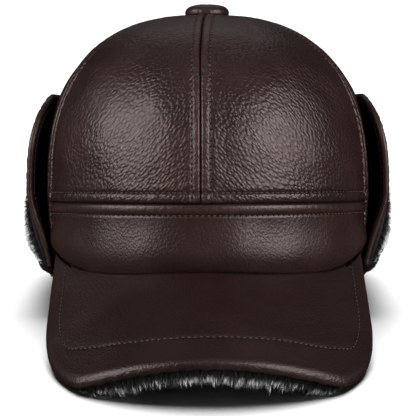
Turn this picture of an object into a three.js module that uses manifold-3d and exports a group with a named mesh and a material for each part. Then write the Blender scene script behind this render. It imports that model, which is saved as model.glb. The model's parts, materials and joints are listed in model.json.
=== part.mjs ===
// Peaked leather cap with fur-lined ear flaps that fold up against the crown.
// Millimetres, +Z up. The cap is modelled upright: head axis on Z, hem in the plane z = 0, peak
// towards -Y, wearer's left towards +X. The whole cap is then tipped back, as it rests on a table
// on the two corners of its peak and the back of its hem.
import * as THREE from "three";
import { mergeVertices } from "three/addons/utils/BufferGeometryUtils.js";
import Module from "manifold-3d";

const wasm = await Module();
wasm.setup();

const { lerp, smoothstep, degToRad } = THREE.MathUtils;

// Gap left between pieces that touch.
const GAP = 0.3;

// Crown: an oval wall that turns in to a rounded top.
const HALF_WIDTH = 90;
const FRONT_DEPTH = 98;
const BACK_DEPTH = 105;
const HEM_SCALE = 0.975;
const SHOULDER_Z = 40;
const DOME_RISE = 95.5;
const DOME_POWER = 2.49;
const TOP_HOLE_RADIUS = 8;

// Panels of one half, by angle from the front.
const PANELS = [
  { name: "front", from: 0, to: 68, steps: 7 },
  { name: "side", from: 68, to: 124, steps: 6 },
  { name: "back", from: 124, to: 180, steps: 6 },
];
const PANEL_HEM = 0.5;
const WALL_ROWS = 11;

// Layers of the crown wall, by depth from its outer face.
const LEATHER = [0, 1.3];
const INTERLINING = [1.6, 2.9];
const SATIN = [3.2, 3.9];
const INNER_FUR = [4.6, 9.5];
const INNER_FUR_ROWS = [1, 20, 40];
const SATIN_HEM = 34;
const STIFFENER_TOP = 120;
const WADDING_TOP = 170;
const ELASTIC_ROWS = [4, 19, 34];
const ELASTIC_FROM = 133;
const WADDING_HEM = 38;

// Front band, between the peak and the cross seam.
const CROSS_SEAM_Z = 39.7;
const CROSS_SEAM_FALL = 3.4;
const BAND_PUFF = 2.2;

// Hem binding: a flat ring under the wall.
const HEM_TOP = 0.2;
const HEM_BOTTOM = -1.8;
const HEM_OUT = 0.3;
const HEM_IN = 6.2;

// Peak: an arch that falls away from the crown, and bends more towards its front corners.
const PEAK_JOINT_Z = 4.9;
const PEAK_SLOPE = 0.592;
const PEAK_ARCH = 0.00447;
const PEAK_BEND = 0.0000185;
const PEAK_BEND_FROM = 41;
const PEAK_HALF_WIDTH = 80;
const PEAK_SIDE_ARC = { x: 5, reach: 82, radius: 75 };
const PEAK_FRONT_ARC = { x: 0, reach: 34.6, radius: 115 };
const PEAK_CORNER_RADIUS = 18;
const PEAK_BINDING_WIDTH = 2.3;
const PEAK_BINDING_BULGE = 0.6;

// Layers of the peak, by how far they lie below its upper face.
const PEAK_COVER = [0, 1.4];
const PEAK_BOARD = [1.8, 4];
const PEAK_FUR = [4.5, 11];
const PEAK_BINDING_DROP = 4.6;
const PEAK_INSET = 2.6;
const PEAK_FUR_INSET = 3.4;

// Top button.
const BUTTON_RADIUS = 12;
const BUTTON_HEIGHT = 7.2;
const BUTTON_SKIN = 1;
const BUTTON_EDGE = 2.6;
const SHANK_RADIUS = 2;
const WASHER = { radius: 7, bore: 2.4, thickness: 0.8 };

// Ear flap, folded up: a padded plate beside the crown.
const FLAP_FRONT = -39.5;
const FLAP_BACK = 46;
const FLAP_BASE = 3;
const FLAP_TOP = 92;
const FLAP_CORNER = 30;
const FLAP_CLEARANCE = 0.8;
const FLAP_FRONT_FLARE = 1.5;
const FLAP_BACK_BOW = 3;
const FLAP_LEATHER = [0, 1.2];
const FLAP_WADDING = [1.5, 3.1];
const FLAP_FUR = [3.4, 7.4];
const FLAP_FUR_SWELL = 3.6;
const FLAP_FUR_TUCK = 5;
const FLAP_BINDING_WIDTH = 2.4;
const FLAP_BINDING_BULGE = 0.5;
const FLAP_INSET = FLAP_BINDING_WIDTH + GAP;

// Rest on the table.
const REST_TILT = degToRad(10.8);
const TABLE_DROP = 20.3;

// ---- Solids from surfaces -------------------------------------------------------------------

function solid(points, triangles) {
  const flat = points.flatMap((p) => [p.x, p.y, p.z]);
  const geometry = new THREE.BufferGeometry();
  geometry.setAttribute("position", new THREE.Float32BufferAttribute(flat, 3));
  geometry.setIndex(triangles);
  geometry.computeVertexNormals();
  return geometry;
}

// A closed plate between two surfaces over the same grid. Seen from outside, us run to the
// right and vs run up.
function plate(outer, inner, us, vs) {
  const points = [];
  for (const face of [outer, inner]) {
    for (const v of vs) {
      for (const u of us) points.push(face(u, v));
    }
  }
  const triangles = [];
  const quad = (a, b, c, d) => triangles.push(a, b, c, a, c, d);
  const out = (i, j) => j * us.length + i;
  const inn = (i, j) => us.length * vs.length + j * us.length + i;
  const lastU = us.length - 1;
  const lastV = vs.length - 1;
  for (let j = 0; j < lastV; j++) {
    for (let i = 0; i < lastU; i++) {
      quad(out(i, j), out(i + 1, j), out(i + 1, j + 1), out(i, j + 1));
      quad(inn(i, j), inn(i, j + 1), inn(i + 1, j + 1), inn(i + 1, j));
    }
    quad(out(0, j), out(0, j + 1), inn(0, j + 1), inn(0, j));
    quad(out(lastU, j + 1), out(lastU, j), inn(lastU, j), inn(lastU, j + 1));
  }
  for (let i = 0; i < lastU; i++) {
    quad(out(i + 1, 0), out(i, 0), inn(i, 0), inn(i + 1, 0));
    quad(out(i, lastV), out(i + 1, lastV), inn(i + 1, lastV), inn(i, lastV));
  }
  return solid(points, triangles);
}

// A closed ring whose section is a closed loop of points.
function ring(point, around, section) {
  const points = [];
  for (const u of around) {
    for (const v of section) points.push(point(u, v));
  }
  const sides = section.length;
  const at = (i, j) => (i % around.length) * sides + (j % sides);
  const triangles = [];
  for (let i = 0; i < around.length; i++) {
    for (let j = 0; j < sides; j++) {
      triangles.push(at(i, j), at(i + 1, j), at(i + 1, j + 1));
      triangles.push(at(i, j), at(i + 1, j + 1), at(i, j + 1));
    }
  }
  return solid(points, triangles);
}

// A point moved off a surface along its normal, outwards where height is positive.
function off(surface, u, v, height) {
  const step = 0.01;
  const alongU = surface(u + step, v).sub(surface(u - step, v));
  const alongV = surface(u, v + step).sub(surface(u, v - step));
  const normal = alongU.cross(alongV).normalize();
  return surface(u, v).addScaledVector(normal, height);
}

function turned(profile, segments) {
  const points = profile.map(([radius, height]) => new THREE.Vector2(radius, height));
  return new THREE.LatheGeometry(points, segments).rotateX(Math.PI / 2);
}

function manifoldOf(geometry) {
  const plain = geometry.clone();
  plain.deleteAttribute("normal");
  plain.deleteAttribute("uv");
  const merged = mergeVertices(plain, 1e-4);
  const mesh = { numProp: 3, vertProperties: merged.attributes.position.array };
  mesh.triVerts = new Uint32Array(merged.index.array);
  return new wasm.Manifold(new wasm.Mesh(mesh));
}

// What is left of a piece above the table that the cap rests on.
function aboveTable(geometry) {
  const size = 600;
  const below = new THREE.BoxGeometry(size, size, size);
  below.translate(0, 0, -TABLE_DROP - size / 2);
  below.rotateX(REST_TILT);
  const made = manifoldOf(geometry).subtract(manifoldOf(below)).getMesh();
  const cut = new THREE.BufferGeometry();
  cut.setAttribute("position", new THREE.BufferAttribute(made.vertProperties, 3));
  cut.setIndex(new THREE.BufferAttribute(made.triVerts, 1));
  cut.computeVertexNormals();
  return cut;
}

function steps(from, to, count) {
  return Array.from({ length: count + 1 }, (_, i) => lerp(from, to, i / count));
}

// ---- Crown surface --------------------------------------------------------------------------

// The wall's outline at a height, as a share of its outline at the shoulder.
function wallScale(z) {
  if (z < SHOULDER_Z) return lerp(HEM_SCALE, 1, z / SHOULDER_Z);
  const rise = Math.min((z - SHOULDER_Z) / DOME_RISE, 1);
  return Math.pow(1 - Math.pow(rise, DOME_POWER), 1 / DOME_POWER);
}

// The dome's side profile, by length along the wall.
function domeProfile() {
  const rows = [{ along: SHOULDER_Z, scale: 1, z: SHOULDER_Z }];
  for (const angle of steps(0, Math.PI / 2, 180).slice(1)) {
    const before = rows[rows.length - 1];
    const scale = Math.pow(Math.max(Math.cos(angle), 0), 2 / DOME_POWER);
    const z = SHOULDER_Z + DOME_RISE * Math.pow(Math.sin(angle), 2 / DOME_POWER);
    const run = Math.hypot((before.scale - scale) * HALF_WIDTH, z - before.z);
    rows.push({ along: before.along + run, scale, z });
  }
  return rows;
}

const DOME = domeProfile();
const WALL_TOP = DOME[DOME.length - 1].along - TOP_HOLE_RADIUS;

function profileAt(along) {
  if (along <= SHOULDER_Z) return { scale: wallScale(along), z: along };
  const next = DOME.findIndex((row) => row.along >= along);
  const a = DOME[next - 1];
  const b = DOME[next];
  const t = (along - a.along) / (b.along - a.along);
  return { scale: lerp(a.scale, b.scale, t), z: lerp(a.z, b.z, t) };
}

// A point of the crown's outer face: angle from the front in degrees, length up the wall.
function crown(angle, along) {
  const { scale, z } = profileAt(along);
  const sin = Math.sin(degToRad(angle));
  const cos = Math.cos(degToRad(angle));
  const depth = cos > 0 ? FRONT_DEPTH : BACK_DEPTH;
  return new THREE.Vector3(scale * HALF_WIDTH * sin, -scale * depth * cos, z);
}

function panelAngles(panel) {
  return steps(panel.from, panel.to, panel.steps);
}

// The same angles that the panels use, over a stretch of the wall and both halves of it.
function wallAngles(from, to) {
  const half = PANELS.flatMap(panelAngles);
  const all = [...half, ...half.map((angle) => 360 - angle), ...half.map((angle) => -angle)];
  const inside = all.filter((angle) => angle > from + 1 && angle < to - 1);
  return [...new Set([from, ...inside, to])].sort((a, b) => a - b);
}

// Rows up the wall from a height. Above the shoulder every layer uses the same rows.
function wallRows(from, to = WALL_TOP) {
  const rows = steps(PANEL_HEM, WALL_TOP, WALL_ROWS);
  return [from, ...rows.filter((row) => row > from + 4 && row <= to)];
}

// A wall layer. A margin keeps its upright edges clear of the seams, whatever the radius is.
function wallLayer(angles, rows, [outerDepth, innerDepth], shape = {}) {
  const first = angles[0];
  const last = angles[angles.length - 1];
  const puff = shape.puff ?? (() => 0);
  const row = shape.row ?? ((angle, along) => along);
  const face = (depth, lift) => (angle, along) => {
    const height = row(angle, along);
    const margin = THREE.MathUtils.radToDeg(GAP / 2 / (profileAt(height).scale * HALF_WIDTH));
    const inward = angle === first ? margin : angle === last ? -margin : 0;
    return off(crown, angle + inward, height, lift * puff(along) - depth);
  };
  return plate(face(outerDepth, 1), face(innerDepth, shape.backLift ?? 1), angles, rows);
}

function crossSeam(angle) {
  return CROSS_SEAM_Z - CROSS_SEAM_FALL * Math.pow(angle / PANELS[0].to, 2);
}

function crownPanel(panel) {
  const hem = panel.name === "front" ? CROSS_SEAM_Z : PANEL_HEM;
  const rows = wallRows(hem);
  const aboveSeam = (angle, along) => (along === hem ? crossSeam(angle) + GAP / 2 : along);
  const row = panel.name === "front" ? aboveSeam : undefined;
  return wallLayer(panelAngles(panel), rows, LEATHER, { row });
}

function liningPanel(panel) {
  return wallLayer(panelAngles(panel), wallRows(SATIN_HEM), SATIN);
}

// ---- Front band -----------------------------------------------------------------------------

function peakZ(x, y) {
  const arch = PEAK_ARCH + PEAK_BEND * Math.max(-y - PEAK_BEND_FROM, 0);
  return PEAK_JOINT_Z - arch * x * x + PEAK_SLOPE * (y + FRONT_DEPTH);
}

// The band's rows run from the peak (0) to the cross seam (1).
function bandRow(angle, share) {
  const foot = crown(angle, PEAK_JOINT_Z);
  const low = peakZ(foot.x, foot.y) + GAP;
  return lerp(low, crossSeam(angle) - GAP / 2, share);
}

function bandPuff(share) {
  return BAND_PUFF * Math.max(0, 1 - Math.pow(Math.abs(2 * share - 1), 3));
}

function frontBand(depths, backLift) {
  const reach = PANELS[0].to;
  const shape = { puff: bandPuff, row: bandRow, backLift };
  return wallLayer(wallAngles(-reach, reach), steps(0, 1, 6), depths, shape);
}

// ---- Hem ------------------------------------------------------------------------------------

function hemBinding() {
  const section = [
    [HEM_OUT, (HEM_TOP + HEM_BOTTOM) / 2],
    [HEM_OUT + 0.2, HEM_TOP],
    [HEM_IN - 0.2, HEM_TOP],
    [HEM_IN, (HEM_TOP + HEM_BOTTOM) / 2],
    [HEM_IN - 0.8, HEM_BOTTOM],
    [HEM_OUT + 0.8, HEM_BOTTOM],
  ];
  const point = (angle, [depth, z]) => off(crown, angle, 0.1, -depth).setZ(z);
  return aboveTable(ring(point, wallAngles(0, 360).slice(1), section));
}

// ---- Peak -----------------------------------------------------------------------------------

function peak(x, y, drop) {
  return new THREE.Vector3(x, y, peakZ(x, y) - drop);
}

// The centre of a round corner that is tangent inside two arcs.
function cornerCentre(a, b, radius) {
  const ra = a.radius - radius;
  const rb = b.radius - radius;
  const gap = Math.hypot(b.x - a.x, b.reach - a.reach);
  const along = (ra * ra - rb * rb + gap * gap) / (2 * gap);
  const aside = Math.sqrt(ra * ra - along * along);
  const ux = (b.x - a.x) / gap;
  const ur = (b.reach - a.reach) / gap;
  return { x: a.x + ux * along - ur * aside, reach: a.reach + ur * along + ux * aside, radius };
}

const PEAK_CORNER = cornerCentre(PEAK_SIDE_ARC, PEAK_FRONT_ARC, PEAK_CORNER_RADIUS);

function bearing(from, to) {
  return Math.atan2(to.reach - from.reach, to.x - from.x);
}

// The peak's free edge on the +X side, from the crown round to the middle of the front.
function peakHalfRim(inset) {
  const toCorner = bearing(PEAK_SIDE_ARC, PEAK_CORNER);
  const toFront = bearing(PEAK_FRONT_ARC, PEAK_CORNER);
  const x = PEAK_HALF_WIDTH - inset;
  const rim = steps(jointReach(x), PEAK_SIDE_ARC.reach, 3).map((reach) => [x, -reach]);
  const arc = (centre, from, to, count) => {
    for (const angle of steps(from, to, count).slice(1)) {
      const radius = centre.radius - inset;
      const reach = centre.reach + radius * Math.sin(angle);
      rim.push([centre.x + radius * Math.cos(angle), -reach]);
    }
  };
  arc(PEAK_SIDE_ARC, 0, toCorner, 5);
  arc(PEAK_CORNER, toCorner, toFront, 3);
  arc(PEAK_FRONT_ARC, toFront, Math.PI / 2, 6);
  return rim;
}

function peakRim(inset) {
  const half = peakHalfRim(inset);
  const other = half.slice(0, -1).map(([x, y]) => [-x, y]);
  return [...other, ...half.reverse()];
}

// How far forward the crown wall comes at a distance from the middle.
function jointReach(x) {
  const scale = wallScale(PEAK_JOINT_Z + 2);
  const width = HALF_WIDTH * scale + 0.4;
  const depth = FRONT_DEPTH * scale + 0.4;
  return depth * Math.sqrt(1 - Math.pow(x / width, 2));
}

function edgeReach(x, inset) {
  const side = Math.abs(x);
  const toCorner = bearing(PEAK_SIDE_ARC, PEAK_CORNER);
  const toFront = bearing(PEAK_FRONT_ARC, PEAK_CORNER);
  let arc = PEAK_FRONT_ARC;
  if (side > (PEAK_FRONT_ARC.radius - inset) * Math.cos(toFront)) arc = PEAK_CORNER;
  const cornerEnd = PEAK_SIDE_ARC.x + (PEAK_SIDE_ARC.radius - inset) * Math.cos(toCorner);
  if (side > cornerEnd) arc = PEAK_SIDE_ARC;
  const radius = arc.radius - inset;
  return arc.reach + Math.sqrt(Math.max(radius * radius - Math.pow(side - arc.x, 2), 0));
}

// A layer of the peak, over the whole peak inside its edge.
function peakLayer([top, bottom], inset) {
  const xs = steps(-90, 90, 24).map((t) => (PEAK_HALF_WIDTH - inset) * Math.sin(degToRad(t)));
  const face = (drop) => (x, share) => {
    const y = -lerp(edgeReach(x, inset), jointReach(x), share);
    return peak(x, y, drop);
  };
  return plate(face(top), face(bottom), xs, [0, 0.5, 1]);
}

function peakBinding() {
  const count = peakRim(0).length;
  const outerRim = (share) => peakRim(-PEAK_BINDING_BULGE * Math.sin(Math.PI * share));
  const innerRim = peakRim(PEAK_BINDING_WIDTH);
  const drop = (share) => PEAK_BINDING_DROP * (1 - share);
  const outer = (i, share) => peak(...outerRim(share)[i], drop(share));
  const inner = (i, share) => peak(...innerRim[i], drop(share));
  const along = steps(0, count - 1, count - 1).map(Math.round);
  return plate(outer, inner, along, steps(0, 1, 4));
}

// ---- Button ---------------------------------------------------------------------------------

const CROWN_TOP = SHOULDER_Z + DOME_RISE;

function buttonCover() {
  const top = BUTTON_HEIGHT;
  const inside = BUTTON_RADIUS - BUTTON_SKIN;
  const round = steps(0, 90, 4).map((angle) => {
    const turn = degToRad(angle);
    const radius = BUTTON_RADIUS - BUTTON_EDGE + BUTTON_EDGE * Math.cos(turn);
    return [radius, top - BUTTON_EDGE - 0.6 + BUTTON_EDGE * Math.sin(turn)];
  });
  const ceiling = top - BUTTON_SKIN - 0.6;
  return turned(
    [[0, ceiling], [inside - 1.5, ceiling - 0.3], [inside, ceiling - 1.8], [inside, 0],
      [BUTTON_RADIUS - 0.3, 0], ...round, [0, top]],
    20,
  );
}

function buttonCore() {
  const radius = BUTTON_RADIUS - BUTTON_SKIN - GAP;
  const top = BUTTON_HEIGHT - BUTTON_SKIN - 0.6 - GAP;
  const foot = -SATIN[1] - WASHER.thickness - 1.1;
  return turned(
    [[0, foot], [SHANK_RADIUS, foot], [SHANK_RADIUS, GAP], [radius, GAP], [radius, top - 2],
      [radius - 1.6, top - 0.4], [0, top]],
    20,
  );
}

function buttonWasher() {
  const under = -SATIN[1] - GAP - 0.3;
  const low = under - WASHER.thickness;
  const { bore, radius } = WASHER;
  return turned([[bore, low], [radius, low], [radius, under], [bore, under], [bore, low]], 20);
}

// ---- Ear flap, on the +X side ---------------------------------------------------------------

// How far in the hem lies, fore or aft of the middle, than at the side.
function hemFall(y) {
  const depth = y < 0 ? FRONT_DEPTH : BACK_DEPTH;
  return HALF_WIDTH * HEM_SCALE * (Math.sqrt(1 - Math.pow(y / depth, 2)) - 1);
}

// The flap's face towards the crown. Its foot follows the hem, and it flattens above it.
function flap(y, z) {
  const foot = 1 - smoothstep(z, 0, SHOULDER_Z);
  const away = smoothstep(z, 20, 48) * (1 - smoothstep(z, FLAP_TOP - 11, FLAP_TOP));
  const flare = FLAP_FRONT_FLARE * Math.pow(Math.min(0, y) / FLAP_FRONT, 2) * away;
  const bow = FLAP_BACK_BOW * Math.pow(Math.max(0, y - 5) / (FLAP_BACK - 5), 2) * (1 - foot);
  const wall = HALF_WIDTH * wallScale(z) + foot * hemFall(y);
  return new THREE.Vector3(wall + FLAP_CLEARANCE + flare - bow, y, z);
}

function flapTop(y, inset) {
  const fromFront = y - (FLAP_FRONT + FLAP_CORNER);
  const fromBack = FLAP_BACK - FLAP_CORNER - y;
  const reach = Math.min(fromFront, fromBack, 0);
  const radius = FLAP_CORNER - inset;
  const rise = Math.sqrt(Math.max(radius * radius - reach * reach, 0));
  return FLAP_TOP - FLAP_CORNER + rise;
}

function flapLayer(inset, inner, outer) {
  const middle = (FLAP_FRONT + FLAP_BACK) / 2;
  const half = (FLAP_BACK - FLAP_FRONT) / 2 - inset;
  const ys = steps(-90, 90, 12).map((t) => middle + half * Math.sin(degToRad(t)));
  const face = (height) => (y, share) => {
    const z = lerp(FLAP_BASE, flapTop(y, inset), share);
    return off(flap, y, z, height(z));
  };
  return plate(face(outer), face(inner), ys, steps(0, 1, 7));
}

function flapSheet(heights) {
  const [inner, outer] = heights.map((height) => () => height);
  return flapLayer(FLAP_INSET, inner, outer);
}

// The fur is fuller low down, and tucks in again towards the fold.
function flapFur() {
  const swell = (z) => FLAP_FUR_SWELL * (1 - smoothstep(z, 22, 60));
  const tuck = (z) => FLAP_FUR_TUCK * (1 - smoothstep(z, 0, 18));
  return flapLayer(FLAP_INSET, () => FLAP_FUR[0], (z) => FLAP_FUR[1] + swell(z) - tuck(z));
}

function flapRim(inset) {
  const front = FLAP_FRONT + inset;
  const back = FLAP_BACK - inset;
  const shoulder = FLAP_TOP - FLAP_CORNER;
  const radius = FLAP_CORNER - inset;
  const rise = steps(FLAP_BASE, shoulder, 5).slice(0, -1);
  const corner = (centre, from, to) =>
    steps(degToRad(from), degToRad(to), 6).map((angle) => [
      centre + radius * Math.cos(angle),
      shoulder + radius * Math.sin(angle),
    ]);
  return [
    ...rise.map((z) => [front, z]),
    ...corner(FLAP_FRONT + FLAP_CORNER, 180, 90),
    ...corner(FLAP_BACK - FLAP_CORNER, 90, 0),
    ...rise.reverse().map((z) => [back, z]),
  ];
}

function flapBinding() {
  const count = flapRim(0).length;
  const bulge = (share) => -FLAP_BINDING_BULGE * Math.sin(Math.PI * share);
  const outer = (i, share) => off(flap, ...flapRim(bulge(share))[i], share * FLAP_WADDING[1]);
  const inner = (i, share) =>
    off(flap, ...flapRim(FLAP_BINDING_WIDTH)[i], share * FLAP_WADDING[1]);
  const along = steps(count - 1, 0, count - 1).map(Math.round);
  return plate(outer, inner, along, steps(0, 1, 3));
}

// ---- Assembly -------------------------------------------------------------------------------

function finish(color, roughness, metalness = 0) {
  return { color, roughness, metalness };
}

const BROWN_LEATHER = finish(0x3a2b27, 0.45);
const DARK_FUR = finish(0x33302f, 0.95);
const BLACK_SATIN = finish(0x1c1a1d, 0.35);
const WHITE_WADDING = finish(0xd9d4ca, 0.95);
const BUCKRAM = finish(0xc9c2b2, 0.9);
const BOARD = finish(0x2a2a2c, 0.6);
const DARK_METAL = finish(0x3d3a38, 0.35, 1);
const ELASTIC = finish(0x202022, 0.8);

function piece(name, geometry, look) {
  const mesh = new THREE.Mesh(geometry, new THREE.MeshStandardMaterial(look));
  mesh.name = name;
  return mesh;
}

// The pieces that the cap has on both sides.
function sidePieces(side) {
  const half = new THREE.Group();
  for (const panel of PANELS) {
    half.add(piece(`${panel.name}_panel_${side}`, crownPanel(panel), BROWN_LEATHER));
    half.add(piece(`${panel.name}_lining_${side}`, liningPanel(panel), BLACK_SATIN));
  }
  half.add(earFlap(side));
  if (side === "right") half.scale.x = -1;
  return half;
}

function earFlap(side) {
  const group = new THREE.Group();
  group.add(
    piece(`ear_flap_leather_${side}`, flapSheet(FLAP_LEATHER), BROWN_LEATHER),
    piece(`ear_flap_wadding_${side}`, flapSheet(FLAP_WADDING), WHITE_WADDING),
    piece(`ear_flap_fur_${side}`, flapFur(), DARK_FUR),
    piece(`ear_flap_binding_${side}`, flapBinding(), BROWN_LEATHER),
  );
  return group;
}

function innerPieces() {
  const group = new THREE.Group();
  const reach = PANELS[0].to;
  const stiffener = wallLayer(
    wallAngles(-reach, reach),
    wallRows(CROSS_SEAM_Z + 1, STIFFENER_TOP),
    INTERLINING,
  );
  const wadding = wallLayer(
    wallAngles(reach, 360 - reach),
    wallRows(WADDING_HEM, WADDING_TOP),
    INTERLINING,
  );
  const elastic = wallLayer(
    wallAngles(ELASTIC_FROM, 360 - ELASTIC_FROM),
    ELASTIC_ROWS,
    INTERLINING,
  );
  const fur = wallLayer(wallAngles(-180, 180), INNER_FUR_ROWS, INNER_FUR);
  group.add(
    piece("front_stiffener", stiffener, BUCKRAM),
    piece("crown_wadding", wadding, WHITE_WADDING),
    piece("rear_elastic", elastic, ELASTIC),
    piece("inner_fur_band", fur, DARK_FUR),
  );
  return group;
}

function frontPieces() {
  const group = new THREE.Group();
  group.add(
    piece("front_band", frontBand(LEATHER, 1), BROWN_LEATHER),
    piece("front_band_padding", frontBand(INTERLINING, 0), WHITE_WADDING),
    piece("peak_cover", peakLayer(PEAK_COVER, PEAK_INSET), BROWN_LEATHER),
    piece("peak_board", peakLayer(PEAK_BOARD, PEAK_INSET), BOARD),
    piece("peak_binding", peakBinding(), BROWN_LEATHER),
    piece("peak_fur", aboveTable(peakLayer(PEAK_FUR, PEAK_FUR_INSET)), DARK_FUR),
    piece("hem_binding", hemBinding(), BROWN_LEATHER),
  );
  return group;
}

function button() {
  const group = new THREE.Group();
  group.add(
    piece("button_cover", buttonCover(), BROWN_LEATHER),
    piece("button_core", buttonCore(), DARK_METAL),
    piece("button_washer", buttonWasher(), DARK_METAL),
  );
  group.position.z = CROWN_TOP + GAP;
  return group;
}

function restOnTable(parts) {
  const hat = new THREE.Group();
  hat.add(...parts);
  hat.rotation.x = -REST_TILT;
  hat.updateMatrixWorld(true);
  const middle = new THREE.Box3().setFromObject(hat, true).getCenter(new THREE.Vector3());
  hat.position.set(0, -middle.y, TABLE_DROP);
  return hat;
}

const cap = new THREE.Group();
cap.add(
  restOnTable([
    sidePieces("left"),
    sidePieces("right"),
    innerPieces(),
    frontPieces(),
    button(),
  ]),
);

export default cap;
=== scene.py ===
# A peaked leather cap with fur-lined ear flaps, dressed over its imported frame.
#
# Lengths are millimetres in the cap's own frame: head axis on Z, hem at z = 0, peak towards -Y,
# wearer's left towards +X. to_row() turns them into the row frame's metres.
import json
import math

import bpy
import numpy as np
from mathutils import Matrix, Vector
from mathutils.kdtree import KDTree


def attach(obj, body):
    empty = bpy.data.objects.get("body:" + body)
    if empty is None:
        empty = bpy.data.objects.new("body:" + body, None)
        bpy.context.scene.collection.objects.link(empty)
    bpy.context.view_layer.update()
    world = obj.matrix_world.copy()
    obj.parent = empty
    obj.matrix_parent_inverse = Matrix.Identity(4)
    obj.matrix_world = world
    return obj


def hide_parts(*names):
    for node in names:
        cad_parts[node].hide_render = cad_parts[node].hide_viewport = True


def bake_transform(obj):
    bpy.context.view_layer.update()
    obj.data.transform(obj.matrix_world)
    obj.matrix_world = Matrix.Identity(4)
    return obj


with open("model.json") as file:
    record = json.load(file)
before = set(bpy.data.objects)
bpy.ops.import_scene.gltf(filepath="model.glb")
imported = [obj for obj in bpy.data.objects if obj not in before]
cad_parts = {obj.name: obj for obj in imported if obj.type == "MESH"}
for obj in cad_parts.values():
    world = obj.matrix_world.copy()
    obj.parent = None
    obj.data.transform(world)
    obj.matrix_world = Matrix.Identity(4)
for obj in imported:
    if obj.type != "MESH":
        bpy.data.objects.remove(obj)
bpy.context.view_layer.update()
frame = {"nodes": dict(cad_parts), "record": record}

# ---- Sizes, as the CAD has them ----

HALF_WIDTH = 90
FRONT_DEPTH = 98
BACK_DEPTH = 105
HEM_SCALE = 0.975
SHOULDER = 40
DOME_RISE = 95.5
DOME_POWER = 2.49
CROWN_TOP = SHOULDER + DOME_RISE
PANELS = {"front": (0, 68), "side": (68, 124), "back": (124, 180)}
FRONT_END = PANELS["front"][1]
LEATHER = 1.3
SATIN = (3.2, 3.9)
SATIN_HEM = 34
INNER_FUR_DEPTH = 4.7
SEAM_Z = 39.7
SEAM_FALL = 3.4
PEAK_Z = 4.9
PEAK_SLOPE = 0.592
PEAK_ARCH = 0.00447
PEAK_BEND = 0.0000185
PEAK_BEND_FROM = 41
PEAK_HALF_WIDTH = 80
PEAK_SIDE = (5, 82, 75)
PEAK_FRONT = (0, 34.6, 115)
PEAK_CORNER = 18
BUTTON_RADIUS = 12
BUTTON_HEIGHT = 7.2
FLAP_FRONT = -39.5
FLAP_BACK = 46
FLAP_MIDDLE = (FLAP_FRONT + FLAP_BACK) / 2
FLAP_TOP = 92
FLAP_CORNER = 30
FLAP_CLEARANCE = 0.8
FOLD_Z = -1.8
FOLD_HALF = 33

# Sewing.
FRONT_SEAM_SHIFT = 4.6
STITCH = 1.8
PITCH = 2.8
THREAD = 0.26
# The bead of painted shade in each needle hole: its half-length, half-width and half-height.
HOLE_SHADE = (0.5, 0.56, 0.2)
CROWN_ROW = 4.5
SEAM_UPPER_ROW = 5.2
SEAM_LOWER_ROW = 5.8
PEAK_ROW = 14
BAND_PUFF = 2.3

# Rough sizes, for spacing points and turning angles into lengths.
FRONT_WIDTH = 105
PANEL_WIDTH = 96
BAND_WIDTH = 226
MEAN_RADIUS = 95
PEAK_POINT_GAP = 1.35

# Distances from a seam at which the leather beside it has points.
SEAM_STEPS = (0, 0.2, 0.45, 0.8, 1.3, 1.9, 2.6, 3.3, 3.8, 4.15, 4.5, 4.85, 5.3, 6, 7, 8.3, 10)
UPPER_STEPS = (0, 0.2, 0.45, 0.8, 1.3, 1.9, 2.5, 3.1, 3.7, 4.3, 4.75, 5.05, 5.3, 5.7, 6.4, 7.2, 8)
BAND_STEPS = (0, 0.2, 0.45, 0.8, 1.3, 1.9, 2.5, 3.1, 3.7, 4.3, 4.9, 5.3, 5.6, 5.85, 6.2, 6.8, 7.4)

# ---- The cap's frame ----

MOUNTS = {mount["name"]: mount for mount in frame["record"]["mounts"]}
ORIGIN = np.array(MOUNTS["head_opening"]["pos_m"])
UP = -np.array(MOUNTS["head_opening"]["axis"], float)
UP /= np.linalg.norm(UP)
AXES = np.stack([[1, 0, 0], np.cross(UP, [1, 0, 0]), UP])
TABLE = 0.00004


def to_row(points):
    return ORIGIN + 0.001 * np.asarray(points, float) @ AXES


def above_table(points):
    """Points in millimetres, with any that would sink into the table laid on it."""
    row = to_row(points)
    low = np.maximum(TABLE - row[..., 2], 0)
    return points + 1000 * low[..., None] * (np.array([0, 0, 1.0]) @ AXES.T)


# ---- Numbers ----

def smoothstep(value, low, high):
    t = np.clip((value - low) / (high - low), 0, 1)
    return t * t * (3 - 2 * t)


def bell(distance, width):
    return np.exp(-np.square(distance / width))


def ripple(points, wavelength, seed):
    """A smooth uneven field from about -1 to 1, with bumps about a wavelength apart."""
    random = np.random.default_rng(seed)
    waves = random.normal(size=(16, 3))
    waves /= np.linalg.norm(waves, axis=1, keepdims=True)
    waves *= 2 * np.pi / wavelength * random.uniform(0.6, 1.4, (16, 1))
    phases = random.uniform(0, 2 * np.pi, 16)
    return np.sin(np.asarray(points) @ waves.T + phases).sum(axis=-1) / 4.5


def wave(length, wavelength, seed):
    """The same along one direction."""
    random = np.random.default_rng(seed)
    rates = 2 * np.pi / wavelength * random.uniform(0.55, 1.6, 9)
    phases = random.uniform(0, 2 * np.pi, 9)
    return np.sin(np.multiply.outer(length, rates) + phases).sum(axis=-1) / 3.2


def unit(vectors):
    return vectors / np.maximum(np.linalg.norm(vectors, axis=-1, keepdims=True), 1e-9)


def near_edges(width, step):
    """Shares from 0 to 1 across a piece, close together at its two edges."""
    fine = np.array(SEAM_STEPS) / width
    middle = np.linspace(fine[-1], 1 - fine[-1], max(int(width / step), 3))
    return np.concatenate([fine[:-1], middle, 1 - fine[:-1][::-1]])


# ---- Surfaces ----

def dome_profile():
    turn = np.linspace(0, np.pi / 2, 241)
    scale = np.cos(turn).clip(0) ** (2 / DOME_POWER)
    z = SHOULDER + DOME_RISE * np.sin(turn) ** (2 / DOME_POWER)
    run = np.hypot(np.diff(scale) * HALF_WIDTH, np.diff(z))
    return SHOULDER + np.concatenate([[0], np.cumsum(run)]), scale, z


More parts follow.
